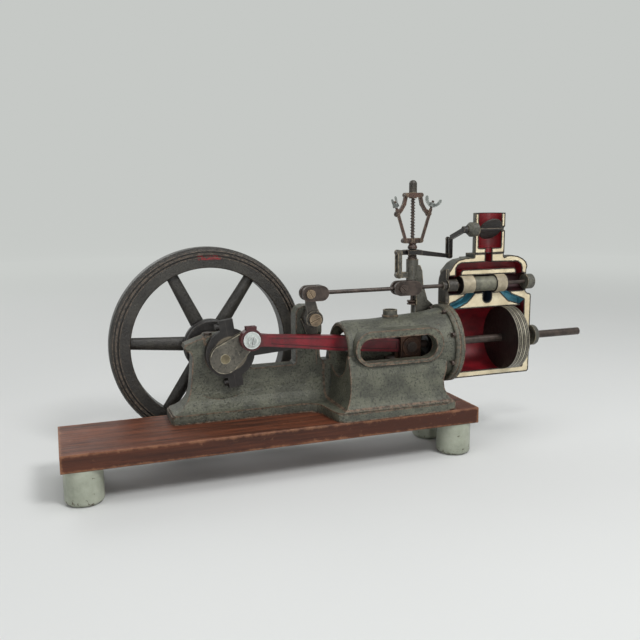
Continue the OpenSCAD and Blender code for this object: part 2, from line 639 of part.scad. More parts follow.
module piston() color([0.30, 0.30, 0.28]) place() difference() {
  xcyl(axis_y, axis_z, piston_x, piston_x + piston_w, piston_d / 2);
  xcyl(axis_y, axis_z, piston_x - 1, piston_x + piston_w + 1, piston_rod_d / 2 + 0.02);
  for (dx = ring_x) difference() {
    xcyl(axis_y, axis_z, piston_x + dx, piston_x + dx + ring_w, piston_d / 2 + 1);
    xcyl(axis_y, axis_z, piston_x + dx - 1, piston_x + dx + ring_w + 1, piston_d / 2 - 2);
  }
}
module piston_rings() color([0.72, 0.70, 0.62]) place()
  for (dx = ring_x) difference() {
    xcyl(axis_y, axis_z, piston_x + dx + 0.05, piston_x + dx + ring_w - 0.05, piston_d / 2);
    xcyl(axis_y, axis_z, piston_x + dx - 1, piston_x + dx + ring_w + 1, piston_d / 2 - 1.9);
  }

// ---------- eccentric strap ----------
strap_r = 23.8;
strap_turn = -8;
strap_bore = sheave_d / 2 + sheave_gap;
module strap_frame() translate([sheave_x, 0, sheave_z]) rotate([0, strap_turn, 0]) children();
module eccentric_strap() color([0.24, 0.19, 0.17]) place() difference() {
  union() {
    strap_frame() {
      intersection() {
        ycyl(0, 0, sheave_y0, sheave_y1, strap_r);
        box([0.02, 0, -40], [40, 90, 40]);
      }
      for (s = [-1, 1]) box([0.02, sheave_y0, s > 0 ? 20 : -33], [7.5, sheave_y1, s > 0 ? 33 : -20]);
    }
    // rod to the rocker
    taper_xz(sheave_x + 19, sheave_z + 1, low_pin_x, low_pin_z, 10, 6.5, sheave_y0, sheave_y0 + 2.6);
    ycyl(low_pin_x, low_pin_z, sheave_y0, sheave_y0 + 2.6, 5.2);
  }
  ycyl(sheave_x, sheave_z, sheave_y0 - 1, sheave_y1 + 1, strap_bore);
  strap_frame() for (s = [-1, 1]) xcyl((sheave_y0 + sheave_y1) / 2, s * 27.5, -20, 20, 1.62);
}
module eccentric_strap_cap() color([0.24, 0.19, 0.17]) place() difference() {
  strap_frame() {
    intersection() {
      ycyl(0, 0, sheave_y0, sheave_y1, strap_r);
      box([-40, 0, -40], [-0.02, 90, 40]);
    }
    for (s = [-1, 1]) box([-6.5, sheave_y0, s > 0 ? 20 : -33], [-0.02, sheave_y1, s > 0 ? 33 : -20]);
  }
  ycyl(sheave_x, sheave_z, sheave_y0 - 1, sheave_y1 + 1, strap_bore);
  strap_frame() for (s = [-1, 1]) xcyl((sheave_y0 + sheave_y1) / 2, s * 27.5, -20, 20, 1.62);
}
module eccentric_bolts() color([0.36, 0.33, 0.30]) place() strap_frame() for (s = [-1, 1]) {
  xcyl((sheave_y0 + sheave_y1) / 2, s * 27.5, -6.5, 7.2, 1.6);
  xcyl((sheave_y0 + sheave_y1) / 2, s * 27.5, -10.4, -6.52, 3);
}

// ---------- rocker and valve gear ----------
module rocker_lever() color([0.24, 0.22, 0.19]) place() difference() {
  union() {
    ycyl(rocker_x, rocker_z, 41.05, 62.6, 7.2);
    ycyl(rocker_x, rocker_z, 41.05, 48.4, 8.6);
    box([rocker_x - 7.4, 41.2, rocker_z - 9.4], [rocker_x + 7.6, 48.2, rocker_z - 2]);
    taper_xz(rocker_x, rocker_z, top_pin_x, top_pin_z, 13, 8, 42.65, 46.35);
    ycyl(top_pin_x, top_pin_z, 42.5, 46.5, 4.2);
    taper_xz(rocker_x, rocker_z, low_pin_x, low_pin_z, 17, 8.6, 58.65, 61.35);
    ycyl(low_pin_x, low_pin_z, 58.5, 61.5, 4.5);
  }
  ycyl(rocker_x, rocker_z, 40, 64, 4.05);
  ycyl(top_pin_x, top_pin_z, 41, 48, 2.05);
  ycyl(low_pin_x, low_pin_z, 57, 63, 1.6);
  // flats that clear the connecting rod at its highest swing
  translate([rocker_x, 0, rocker_z]) for (a = [-18.5, -9.5, 0, 9, 17.5])
    rotate([0, a, 0]) box([-20, 39, -30], [20, 48.8, -6.5]);
}
module rocker_top_screw() color([0.50, 0.45, 0.36]) place() difference() {
  union() {
    ycyl(top_pin_x, top_pin_z, 36.2, 38.48, 4.3);
    ycyl(top_pin_x, top_pin_z, 38.4, 51, 2);
  }
  translate([top_pin_x, 0, top_pin_z]) rotate([0, 60, 0]) box([-5, 35, -0.4], [5, 37.2, 0.4]);
}
module valve_link() color([0.27, 0.22, 0.19]) place() difference() {
  union() {
    // fork on the rocker
    slot_y(top_pin_x - 8, top_pin_x + 19, top_pin_z, 7.4, 38.5, 50.5);
    xcyl(axis_y, valve_z, top_pin_x + 18, fork_x - 4, 2);
    // eye inside the valve rod's fork
    ycyl(fork_x, valve_z, 42.5, 46.5, 4.2);
  }
  // slot for the rocker
  box([top_pin_x - 20, 42.3, top_pin_z - 12], [top_pin_x + 7.5, 46.7, top_pin_z + 12]);
  ycyl(top_pin_x, top_pin_z, 37, 52, 2.05);
  ycyl(fork_x, valve_z, 40, 48, 3.1);
}
module valve_rod() color([0.32, 0.28, 0.25]) place() difference() {
  union() {
    slot_y(fork_x - 9, fork_x + 21, valve_z, 7.2, 38.5, 50.5);
    xcyl(axis_y, valve_z, fork_x + 20, 479.8, 2);
  }
  box([fork_x - 20, 41.7, valve_z - 12], [fork_x + 9, 47.3, valve_z + 12]);
  ycyl(fork_x, valve_z, 37, 52, 2.02);
}
module valve_fork_pin() color([0.50, 0.45, 0.38]) place() difference() {
  union() {
    ycyl(fork_x, valve_z, 36.4, 38.48, 4);
    ycyl(fork_x, valve_z, 38.4, 51, 2);
  }
  translate([fork_x, 0, valve_z]) rotate([0, 45, 0]) box([-5, 35, -0.4], [5, 37.3, 0.4]);
}
module valve_spool() color([0.78, 0.74, 0.64]) place() difference() {
  translate([0, axis_y, valve_z]) rotate([0, 90, 0]) rotate_extrude()
    polygon([[0, 400.4], [valve_land_d / 2, 400.4], [valve_land_d / 2, 415.6], [7.8, 415.6], [7.8, 440.8],
             [valve_land_d / 2, 440.8], [valve_land_d / 2, 453.6], [0, 453.6]]);
  xcyl(axis_y, valve_z, 399, 455, 2.02);
}

// ---------- governor ----------
module governor_spindle() color([0.30, 0.27, 0.23]) place() {
  zcyl(gov_x, gov_y, 145, 193.4, spindle_r);
  zcyl(gov_x, gov_y, 193.3, 195.2, 5);
  zcyl(gov_x, gov_y, 195.2, 263, spindle_r);
}
module governor_cap_nut() color([0.20, 0.16, 0.16]) place() difference() {
  translate([gov_x, gov_y, 0]) rotate_extrude()
    polygon([[0, 262.2], [4.1, 262.2], [4.1, 272], [3, 274], [1.4, 274.8], [0, 275]]);
  zcyl(gov_x, gov_y, 262, 263.2, spindle_r + 0.02);
}
module governor_crosspiece() color([0.26, 0.20, 0.18]) place() difference() {
  union() {
    box([gov_x - top_out, gov_y - 4, gov_top_z - 2.4], [gov_x + top_out, gov_y + 4, gov_top_z + 2.4]);
    for (s = [-1, 1]) ycyl(gov_x + s * top_out, gov_top_z, gov_y - 4, gov_y + 4, 2.4);
    zcyl(gov_x, gov_y, gov_top_z - 3.4, gov_top_z + 2.48, 4);
  }
  zcyl(gov_x, gov_y, 250, 270, spindle_r + 0.02);
  for (s = [-1, 1]) {
    ycyl(gov_x + s * top_out, gov_top_z, gov_y - 6, gov_y + 6, 1.05);
    box([gov_x + s * (top_out + 0.6) - 3.8, gov_y - 1.7, gov_top_z - 5],
        [gov_x + s * (top_out + 0.6) + 3.8, gov_y + 1.7, gov_top_z + 5]);
  }
}
module governor_pulley() color([0.16, 0.13, 0.12]) place() difference() {
  translate([gov_x, gov_y, 0]) rotate_extrude()
    polygon([[0, 145.2], [5.2, 145.2], [5.2, 146.2], [3.9, 147.2], [5.2, 148.2], [5.2, 149.4], [0, 149.4]]);
  zcyl(gov_x, gov_y, 140, 152, spindle_r + 0.02);
}
module governor_sleeve() color([0.28, 0.24, 0.20]) place() difference() {
  union() {
    box([gov_x - low_out, gov_y - 1.6, gov_low_z - 2.6], [gov_x + low_out, gov_y + 4, gov_low_z + 2.6]);
    for (s = [-1, 1]) ycyl(gov_x + s * low_out, gov_low_z, gov_y - 1.6, gov_y + 4, 2.6);
    translate([gov_x, gov_y, 0]) rotate_extrude()
      polygon([[0, 195.5], [4.2, 195.5], [4.6, 196.2], [4.6, 197], [3.3, 198], [3.3, 203.4],
        [5, 204.4], [5, 206.4],
               [3.6, 208.6], [4.6, 210], [4.6, 211.5], [0, 211.5]]);
  }
  zcyl(gov_x, gov_y, 190, 220, spindle_r + 0.06);
  for (s = [-1, 1]) ycyl(gov_x + s * low_out, gov_low_z, gov_y - 6, gov_y + 6, 1.05);
}
// the spring's section at one height is a piece of a ring, which turns as it rises
spring_in = 1.8;
spring_out = 2.6;
spring_span = 150;
spring_z0 = gov_low_z + 3.1;
spring_z1 = gov_top_z - 3.9;
function ring_point(r, a) = [r * cos(a), r * sin(a)];
module governor_spring() color([0.28, 0.26, 0.24]) place() translate([gov_x, gov_y, spring_z0])
  linear_extrude(height = spring_z1 - spring_z0, twist = -360 * spring_coils, slices = 9 * spring_coils,
                 $fn = 12)
    polygon([for (i = [0:5]) ring_point(spring_out, i * spring_span / 5),
             for (i = [5:-1:0]) ring_point(spring_in, i * spring_span / 5)]);

// one side of the governor head; s is -1 for the left and 1 for the right
module upper_link(s) translate([gov_x, 0, 0]) scale([s, 1, 1]) difference() {
  union() {
    ycyl(top_out, gov_top_z, gov_y - 1.6, gov_y + 1.6, 2.2);
    ycyl(top_out, gov_top_z, gov_y - 3.95, gov_y + 3.95, 1);
    taper_xz(top_out, gov_top_z, 10.1, 250.3, 3.8, 3.8, gov_y - 1.4, gov_y + 1.4);
    ycyl(10.1, 250.3, gov_y - 1.5, gov_y + 1.5, 2);
    taper_xz(10.1, 250.3, 13.6, 244.6, 3.8, 3.8, gov_y - 1.3, gov_y + 1.3);
    ycyl(13.6, 244.6, gov_y - 1.5, gov_y + 1.5, 2);
    taper_xz(13.6, 244.6, elbow_out, elbow_z, 3.8, 4.8, gov_y - 1.4, gov_y + 1.4);
    ycyl(elbow_out, elbow_z, gov_y - 1.5, gov_y + 1.5, 3);
  }
  ycyl(elbow_out, elbow_z, gov_y - 3, gov_y + 3, 2);
}
module upper_link_left() color([0.24, 0.19, 0.17]) place() upper_link(-1);
module upper_link_right() color([0.24, 0.19, 0.17]) place() upper_link(1);

stud_len = 5.2;
tip_len = 14;
module lower_arm(s) translate([gov_x, 0, 0]) scale([s, 1, 1]) {
  ycyl(low_out, gov_low_z, gov_y - 3.3, gov_y - 1.9, 2.2);
  ycyl(low_out, gov_low_z, gov_y - 3.9, gov_y + 4.2, 1);
  ycyl(elbow_out, elbow_z, gov_y - 3.3, gov_y - 1.9, 2.3);
  ycyl(elbow_out, elbow_z, gov_y - 3.8, gov_y + 1.8, 1.2);
  bar_xz(low_out, gov_low_z, elbow_out + stud_len * sin(arm_tilt), elbow_z + stud_len * cos(arm_tilt), 3.4,
         gov_y - 3.2, gov_y - 2);
  rod_xz(elbow_out + (stud_len - 0.8) * sin(arm_tilt), elbow_z + (stud_len - 0.8) * cos(arm_tilt),
         elbow_out + tip_len * sin(arm_tilt), elbow_z + tip_len * cos(arm_tilt), gov_y - 2.6, 1.3);
}
module lower_arm_left() color([0.24, 0.19, 0.17]) place() lower_arm(-1);
module lower_arm_right() color([0.24, 0.19, 0.17]) place() lower_arm(1);

nut_at = 7.6;
module wing_nut(s, turn) translate([gov_x, 0, 0]) scale([s, 1, 1])
  translate([elbow_out + nut_at * sin(arm_tilt), gov_y - 2.6, elbow_z + nut_at * cos(arm_tilt)])
    rotate([0, arm_tilt, 0]) rotate([0, 0, turn]) difference() {
      union() {
        cylinder(h = 4, r1 = 3.4, r2 = 2.9);
        for (t = [-1, 1]) scale([t, 1, 1]) rotate([90, 0, 0]) translate([0, 0, -0.8]) linear_extrude(1.6)
          polygon([[2.2, 0.5], [4.8, 1], [7.6, 3.8], [8.9, 7], [8.7, 9.2], [7.4, 10], [5.9, 9.2],
            [4.9, 6.2],
                   [3.9, 4.4], [2.2, 3.6]]);
      }
      translate([0, 0, -1]) cylinder(h = 12, r = 1.32);
    }
module wing_nut_left() color([0.48, 0.50, 0.49]) place() wing_nut(-1, -50);
module wing_nut_right() color([0.48, 0.50, 0.49]) place() wing_nut(1, -20);

// ---------- governor linkage ----------
module governor_lever() color([0.15, 0.13, 0.12]) place() difference() {
  union() {
    ycyl(lever_pin_x, lever_z, gov_y - 1.6, gov_y + 1.6, 3);
    bar_xz(lever_pin_x, lever_z, gov_x - 7.4, lever_z, 5, gov_y - 1.6, gov_y + 1.6);
    // fork around the sleeve
    box([gov_x - 8, gov_y - 7.2, lever_z - 2.4], [gov_x - 5.4, gov_y + 7.2, lever_z + 2.4]);
    box([gov_x + 5.4, gov_y - 7.2, lever_z - 2.4], [gov_x + 8, gov_y + 7.2, lever_z + 2.4]);
    for (dy = [-7.2, 5.2]) box([gov_x - 8, gov_y + dy, lever_z - 2.4],
      [gov_x + 8, gov_y + dy + 2, lever_z + 2.4]);
    taper_xz(gov_x + 7.4, lever_z - 0.6, lever_end_x, lever_end_z, 5.4, 4.2, gov_y - 1.6, gov_y + 1.6);
    ycyl(lever_end_x, lever_end_z, gov_y - 1.6, gov_y + 1.6, 2.8);
  }
  ycyl(lever_pin_x, lever_z, gov_y - 3, gov_y + 3, 1.55);
  ycyl(lever_end_x, lever_end_z, gov_y - 3, gov_y + 3, 1.55);
}
module swing_link() color([0.22, 0.19, 0.16]) place() {
  for (dy = [-4.4, 2.8]) {
    bar_xz(lever_pin_x, swing_z, lever_pin_x, lever_z, 4.4, gov_y + dy, gov_y + dy + 1.6);
    ycyl(lever_pin_x, swing_z, gov_y + dy, gov_y + dy + 1.6, 2.9);
    ycyl(lever_pin_x, lever_z, gov_y + dy, gov_y + dy + 1.6, 2.9);
  }
  ycyl(lever_pin_x, swing_z, gov_y - 4.9, gov_y + 4.9, 1.5);
  ycyl(lever_pin_x, lever_z, gov_y - 4.9, gov_y + 4.9, 1.5);
}
module throttle_link() color([0.14, 0.12, 0.11]) place() {
  for (dy = [-4, 2]) {
    box([lever_end_x - 2.2, gov_y + dy, lever_end_z], [lever_end_x + 2.2, gov_y + dy + 2, arm_end_z]);
    ycyl(lever_end_x, lever_end_z, gov_y + dy, gov_y + dy + 2, 2.4);
    ycyl(lever_end_x, arm_end_z, gov_y + dy, gov_y + dy + 2, 2.4);
  }
  ycyl(lever_end_x, lever_end_z, gov_y - 4.4, gov_y + 4.4, 1.5);
  ycyl(lever_end_x, arm_end_z, gov_y - 3.9, gov_y - 1.9, 1.5);
}
module throttle_arm() color([0.18, 0.17, 0.16]) place() {
  translate([0, axis_y, throttle_z]) rotate([atan2(arm_end_z - throttle_z, gov_y - axis_y), 0, 0]) {
    box([403.55, 0, -2.4], [406.8, 28.1, 2.4]);
  }
  xcyl(axis_y, throttle_z, 403.4, 407.9, 3.6);
  // shaft with a slot for the disc
  difference() {
    xcyl(axis_y, throttle_z, 407.9, 449, 2);
    translate([throttle_x, axis_y, throttle_z]) rotate([flap_angle, 0, 0])
      box([-13.2, -13.2, -0.82], [15, 13.2, 0.82]);
  }
}
module throttle_butterfly() color([0.62, 0.55, 0.40]) place()
  translate([throttle_x, axis_y, throttle_z]) rotate([flap_angle, 0, 0]) translate([0, 0, -0.8])
    cylinder(h = 1.6, r = 13.1);

base_board();
board_feet();
bed_casting();
guide_casting();
main_bearing();
bearing_cap();
bearing_cap_screws();
guide_oil_cup();
cylinder_cover();
flange_screws();
front_gland();
cylinder_block();
rear_gland();
chest_cover();
valve_rear_cap();
throttle_housing();
throttle_gland();
governor_bracket();
rocker_pivot_screw();
crankshaft();
crank_web();
flywheel();
governor_drive_pulley();
eccentric_sheave();
connecting_rod();
crank_pin_screw();
crank_pin_washer();
crosshead();
crosshead_pin();
piston_rod();
piston();
piston_rings();
eccentric_strap();
eccentric_strap_cap();
eccentric_bolts();
rocker_lever();
rocker_top_screw();
valve_link();
valve_rod();
valve_fork_pin();
valve_spool();
governor_spindle();
governor_cap_nut();
governor_crosspiece();
governor_pulley();
governor_sleeve();
governor_spring();
upper_link_left();
upper_link_right();
lower_arm_left();
lower_arm_right();
wing_nut_left();
wing_nut_right();
governor_lever();
swing_link();
throttle_link();
throttle_arm();
throttle_butterfly();
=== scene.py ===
import math

import bpy
from mathutils import Matrix, Vector


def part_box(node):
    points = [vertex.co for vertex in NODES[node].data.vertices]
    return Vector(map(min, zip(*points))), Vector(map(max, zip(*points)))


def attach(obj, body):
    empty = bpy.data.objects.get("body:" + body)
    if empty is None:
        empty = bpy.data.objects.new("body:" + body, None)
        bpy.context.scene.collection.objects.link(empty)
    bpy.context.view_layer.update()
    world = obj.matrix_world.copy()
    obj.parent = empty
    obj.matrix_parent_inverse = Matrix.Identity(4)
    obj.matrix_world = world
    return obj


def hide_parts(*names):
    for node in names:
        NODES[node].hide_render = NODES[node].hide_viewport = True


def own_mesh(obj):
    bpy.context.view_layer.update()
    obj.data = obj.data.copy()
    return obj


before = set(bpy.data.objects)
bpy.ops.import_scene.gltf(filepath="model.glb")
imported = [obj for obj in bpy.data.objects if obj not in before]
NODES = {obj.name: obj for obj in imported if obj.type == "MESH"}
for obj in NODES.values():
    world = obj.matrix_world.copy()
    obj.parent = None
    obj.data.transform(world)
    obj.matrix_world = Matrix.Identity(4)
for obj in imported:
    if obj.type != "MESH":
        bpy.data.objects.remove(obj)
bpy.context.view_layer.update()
scene = bpy.context.scene
MM = 0.001
# board frame in millimetres (x from the board's crank end, y from its front edge) to the frame
SHIFT = Vector((-275.75, -75.0, 0.0))


def to_frame(x, y, z):
    return (Vector((x, y, z)) + SHIFT) * MM


# ---------------------------------------------------------------- camera and light
def make_camera():
    data = bpy.data.cameras.new("camera")
    data.sensor_width = 36.0
    data.lens = 42.283
    data.shift_x = 0.0016
    data.clip_start = 0.01
    data.clip_end = 30.0
    cam = bpy.data.objects.new("camera", data)
    scene.collection.objects.link(cam)
    yaw, pitch, roll = 0.341189, 0.167251, -0.0095005
    forward = Vector((math.sin(yaw) * math.cos(pitch), math.cos(yaw) * math.cos(pitch), -math.sin(pitch)))
    right = Vector((math.cos(yaw), -math.sin(yaw), 0.0))
    up = right.cross(forward)
    side = math.cos(roll) * right + math.sin(roll) * up
    top = -math.sin(roll) * right + math.cos(roll) * up
    turned = Matrix((side, top, -forward)).transposed().to_4x4()
    turned.translation = Vector((-0.271007, -0.710244, 0.262605))
    cam.matrix_world = turned
    scene.camera = cam


def area_light(name, place, target, size, power):
    data = bpy.data.lights.new(name, "AREA")
    data.shape = "RECTANGLE"
    data.size, data.size_y = size
    data.energy = power
    lamp = bpy.data.objects.new(name, data)
    lamp.location = place
    lamp.rotation_euler = (Vector(target) - Vector(place)).to_track_quat("-Z", "Y").to_euler()
    scene.collection.objects.link(lamp)


def make_light():
    area_light("key", (0.5, -1.15, 1.5), (0.0, 0.0, 0.12), (0.5, 0.5), 17)
    area_light("fill", (-1.5, -0.9, 0.9), (0.0, 0.0, 0.1), (1.2, 1.2), 3)
    area_light("front", (-0.30, -1.55, 0.34), (0.0, 0.0, 0.15), (0.14, 0.14), 3.2)
    area_light("back", (-0.7, 1.5, 1.1), (0.0, 0.0, 0.1), (1.0, 1.0), 6)
    area_light("top", (0.1, -0.2, 1.7), (0.0, 0.0, 0.0), (1.4, 1.0), 8)
    world = bpy.data.worlds.new("studio")
    scene.world = world
    world.use_nodes = True
    sky = world.node_tree.nodes["Background"]
    sky.inputs["Color"].default_value = (0.80, 0.81, 0.80, 1)
    sky.inputs["Strength"].default_value = 0.36
    scene.view_settings.view_transform = "Standard"


# ---------------------------------------------------------------- material kit
def tone(r, g, b):
    """Colour from 0..255 display values to linear light."""
    def lin(c):
        c = c / 255.0
        return c / 12.92 if c <= 0.04045 else ((c + 0.055) / 1.055) ** 2.4
    return (lin(r), lin(g), lin(b), 1.0)


def scaled(colour, factor):
    return tuple(min(1.0, c * factor) for c in colour[:3]) + (1.0,)


class Paint:
    """Builds one node material; every method returns a socket."""

    def __init__(self, name, roughness=0.5, metallic=0.0):
        self.mat = bpy.data.materials.new(name)
        self.mat.use_nodes = True
        self.tree = self.mat.node_tree
        self.bsdf = self.tree.nodes["Principled BSDF"]
        self.bsdf.inputs["Roughness"].default_value = roughness
        self.bsdf.inputs["Metallic"].default_value = metallic
        self.place = self.add("ShaderNodeTexCoord").outputs["Object"]
        self.height = None

    def add(self, kind, **props):
        node = self.tree.nodes.new(kind)
        for key, value in props.items():
            setattr(node, key, value)
        return node

    def put(self, socket, value):
        if isinstance(value, bpy.types.NodeSocket):
            self.tree.links.new(value, socket)
        else:
            socket.default_value = value

    def noise(self, scale, detail=4.0, rough=0.55, place=None):
        node = self.add("ShaderNodeTexNoise")
        self.put(node.inputs["Vector"], place or self.place)
        node.inputs["Scale"].default_value = scale
        node.inputs["Detail"].default_value = detail
        node.inputs["Roughness"].default_value = rough
        return node.outputs["Fac"]

    def cells(self, scale):
        node = self.add("ShaderNodeTexVoronoi")
        self.put(node.inputs["Vector"], self.place)
        node.inputs["Scale"].default_value = scale
        return node.outputs["Distance"]

    def stretch(self, x, y, z):
        node = self.add("ShaderNodeVectorMath", operation="MULTIPLY")
        self.put(node.inputs[0], self.place)
        node.inputs[1].default_value = (x, y, z)
        return node.outputs[0]

    def step(self, value, low, high):
        """0 below low, 1 above high, smooth between."""
        node = self.add("ShaderNodeMapRange", interpolation_type="SMOOTHSTEP")
        self.put(node.inputs["Value"], value)
        node.inputs["From Min"].default_value = low
        node.inputs["From Max"].default_value = high
        return node.outputs["Result"]

    def calc(self, operation, a, b=0.0, clamp=True):
        node = self.add("ShaderNodeMath", operation=operation,
                        use_clamp=clamp and operation in ("ADD", "SUBTRACT"))
        self.put(node.inputs[0], a)
        self.put(node.inputs[1], b)
        return node.outputs[0]

    def mix(self, amount, a, b):
        node = self.add("ShaderNodeMix", data_type="RGBA")
        self.put(node.inputs[0], amount)
        self.put(node.inputs[6], a)
        self.put(node.inputs[7], b)
        return node.outputs[2]

    def shade(self, distance, inside):
        node = self.add("ShaderNodeAmbientOcclusion", samples=8, inside=inside, only_local=inside)
        node.inputs["Distance"].default_value = distance
        return self.calc("SUBTRACT", 1.0, node.outputs["AO"])

    def edges(self, distance, low=0.14, high=0.30, ragged=1.1, scale=360.0):
        """Mask along outer edges, broken up by noise."""
        raw = self.shade(distance, True)
        rough = self.calc("MULTIPLY", self.noise(scale, 5.0, 0.75), ragged)
        return self.step(self.calc("ADD", raw, rough), low + ragged * 0.5, high + ragged * 0.5)

    def axis(self, letter, place=None):
        node = self.add("ShaderNodeSeparateXYZ")
        self.put(node.inputs[0], place or self.place)
        return node.outputs["XYZ".index(letter)]

    def distance(self, letter, centre):
        """How far a point is from a plane, along one axis of the frame."""
        return self.calc("ABSOLUTE", self.calc("SUBTRACT", self.axis(letter), centre, clamp=False))

    def bump(self, height, depth, strength=1.0):
        node = self.add("ShaderNodeBump")
        node.inputs["Strength"].default_value = strength
        node.inputs["Distance"].default_value = depth
        self.put(node.inputs["Height"], height)
        if self.height is not None:
            self.tree.links.new(self.height, node.inputs["Normal"])
        self.height = node.outputs["Normal"]

    def finish(self, colour, rough=None, metal=None):
        self.put(self.bsdf.inputs["Base Color"], colour)
        if rough is not None:
            node = self.add("ShaderNodeMapRange")
            self.put(node.inputs["Value"], rough[0])
            node.inputs["To Min"].default_value = rough[1]
            node.inputs["To Max"].default_value = rough[2]
            self.put(self.bsdf.inputs["Roughness"], node.outputs["Result"])
        if metal is not None:
            self.put(self.bsdf.inputs["Metallic"], metal)
        if self.height is not None:
            self.put(self.bsdf.inputs["Normal"], self.height)
        return self.mat


def mottled(p, light, dark, scale, low=0.35, high=0.68):
    """Base colour that drifts between two tones at two scales."""
    broad = p.step(p.noise(scale, 5.0, 0.6), low, high)
    fine = p.step(p.noise(scale * 7.0, 3.0, 0.6), 0.35, 0.72)
    middle = tuple((a + b) * 0.5 for a, b in zip(light, dark))
    return p.mix(p.calc("MULTIPLY", fine, 0.55), p.mix(broad, dark, light), middle)


def red_band(p, centre, half_x, half_z):
    """Worn red paint inside a short box on the wheel's front, in the frame's metres."""
    inside = p.calc("MULTIPLY", p.step(p.distance("X", centre[0]), half_x, half_x * 0.85),
                    p.step(p.distance("Z", centre[2]), half_z, half_z * 0.6))
    inside = p.calc("MULTIPLY", inside, p.step(p.axis("Y"), centre[1] + 0.004, centre[1] + 0.003))
    return p.calc("MULTIPLY", inside, p.step(p.noise(240.0, 5.0, 0.7), 0.46, 0.54))


def painted_iron(name, light, dark, worn, grain=0.00016, wear=0.0014, band=None):
    """Old enamel over a rough casting: mottled, with painted shade in corners, rubbed to metal on edges."""
    p = Paint(name)
    colour = mottled(p, light, dark, 55.0)
    pits = p.step(p.noise(520.0, 4.0, 0.65), 0.53, 0.62)
    colour = p.mix(p.calc("MULTIPLY", pits, 0.72), colour, scaled(dark, 0.3))
    pale = p.step(p.noise(300.0, 5.0, 0.65), 0.58, 0.70)
    colour = p.mix(p.calc("MULTIPLY", pale, 0.28), colour, scaled(light, 1.7))
    # painted shade: corners and recesses darkened from an occlusion mask
    corner = p.step(p.shade(0.008, False), 0.12, 0.7)
    colour = p.mix(p.calc("MULTIPLY", corner, 0.85), colour, scaled(dark, 0.22))
    if band is not None:
        colour = p.mix(red_band(p, *band), colour, tone(132, 26, 32))
    rubbed = p.edges(wear)
    chips = p.step(p.noise(190.0, 6.0, 0.7), 0.66, 0.70)
    bare = p.calc("MAXIMUM", rubbed, p.calc("MULTIPLY", chips, 0.8))
    rust = p.mix(p.step(p.noise(260.0, 4.0), 0.42, 0.6), worn, scaled(worn, 0.35))
    colour = p.mix(bare, colour, rust)
    p.bump(p.noise(1300.0, 3.0, 0.6), grain)
    p.bump(p.noise(430.0, 4.0, 0.6), grain * 4.0)
    p.bump(p.calc("SUBTRACT", 1.0, bare), 0.00008)
    return p.finish(colour, (p.noise(240.0, 4.0, 0.6), 0.28, 0.6))


def bed_paint():
    return painted_iron("bed_paint", tone(102, 103, 88), tone(66, 67, 58),
                        tone(116, 96, 78), 0.00026, 0.0022)


def bracket_paint():
    return painted_iron("bracket_paint", tone(106, 104, 95), tone(66, 65, 58),
                        tone(140, 128, 106), 0.0001)


def iron_dark():
    return painted_iron("iron_dark", tone(72, 66, 57), tone(42, 38, 33),
                        tone(132, 122, 104), 0.00012, 0.0009)


def iron_rusty():
    return painted_iron("iron_rusty", tone(92, 66, 54), tone(50, 38, 34),
                        tone(128, 112, 92), 0.00012, 0.0007)


def wheel_paint():
    """Dark wheel; its rim keeps the remains of a plain red band near the top."""
    return painted_iron("wheel_paint", tone(58, 55, 49), tone(34, 31, 28),
                        tone(92, 80, 68), 0.00014, 0.0018,
                        band=(to_frame(157.0, 121.0, 199.0), 0.014, 0.0028))


def black_paint():
    return painted_iron("black_paint", tone(44, 40, 38), tone(24, 22, 22),
                        tone(112, 100, 84), 0.00008, 0.0007)


def web_paint():
    return painted_iron("web_paint", tone(106, 102, 90), tone(70, 66, 58),
                        tone(176, 168, 146), 0.0001, 0.001)


def cap_paint():
    return painted_iron("cap_paint", tone(98, 97, 86), tone(62, 61, 55),
                        tone(140, 128, 104), 0.00008, 0.0008)


def steel(name, light, dark, metallic, rough, line=(40.0, 900.0, 900.0)):
    """Bare worked steel with fine lines, stains and bright rubbed edges."""
    p = Paint(name, metallic=metallic)
    colour = mottled(p, light, dark, 120.0)
    stain = p.step(p.noise(70.0, 6.0, 0.65), 0.52, 0.66)
    colour = p.mix(p.calc("MULTIPLY", stain, 0.6), colour, scaled(dark, 0.4))
    colour = p.mix(p.calc("MULTIPLY", p.edges(0.0007), 0.6), colour, scaled(light, 1.7))
    # painted shade: corners and recesses darkened from an occlusion mask
    colour = p.mix(p.step(p.shade(0.003, False), 0.4, 1.0), colour, scaled(dark, 0.2))
    p.bump(p.noise(1.0, 2.0, 0.5, p.stretch(*line)), 0.00005, 0.6)
    return p.finish(colour, (p.noise(300.0, 4.0, 0.6), rough[0], rough[1]))


def steel_brown():
    return steel("steel_brown", tone(82, 70, 63), tone(46, 38, 34), 0.3, (0.3, 0.55))


def steel_strap():
    return steel("steel_strap", tone(46, 42, 40), tone(26, 23, 22), 0.2, (0.35, 0.6))


def zinc():
    return steel("zinc", tone(206, 212, 208),
                 tone(150, 156, 154), 0.35, (0.3, 0.5), (700.0, 700.0, 700.0))


def zinc_dull():
    return steel("zinc_dull", tone(138, 142, 138),
                 tone(84, 88, 86), 0.4, (0.35, 0.6), (700.0, 700.0, 700.0))


def brass_old():
    return steel("brass_old", tone(140, 122, 100),
                 tone(88, 74, 58), 0.4, (0.32, 0.55), (500.0, 500.0, 500.0))


def crosshead_bronze():
    return steel("crosshead_bronze", tone(96, 68, 52), tone(44, 32, 28), 0.4, (0.35, 0.6))


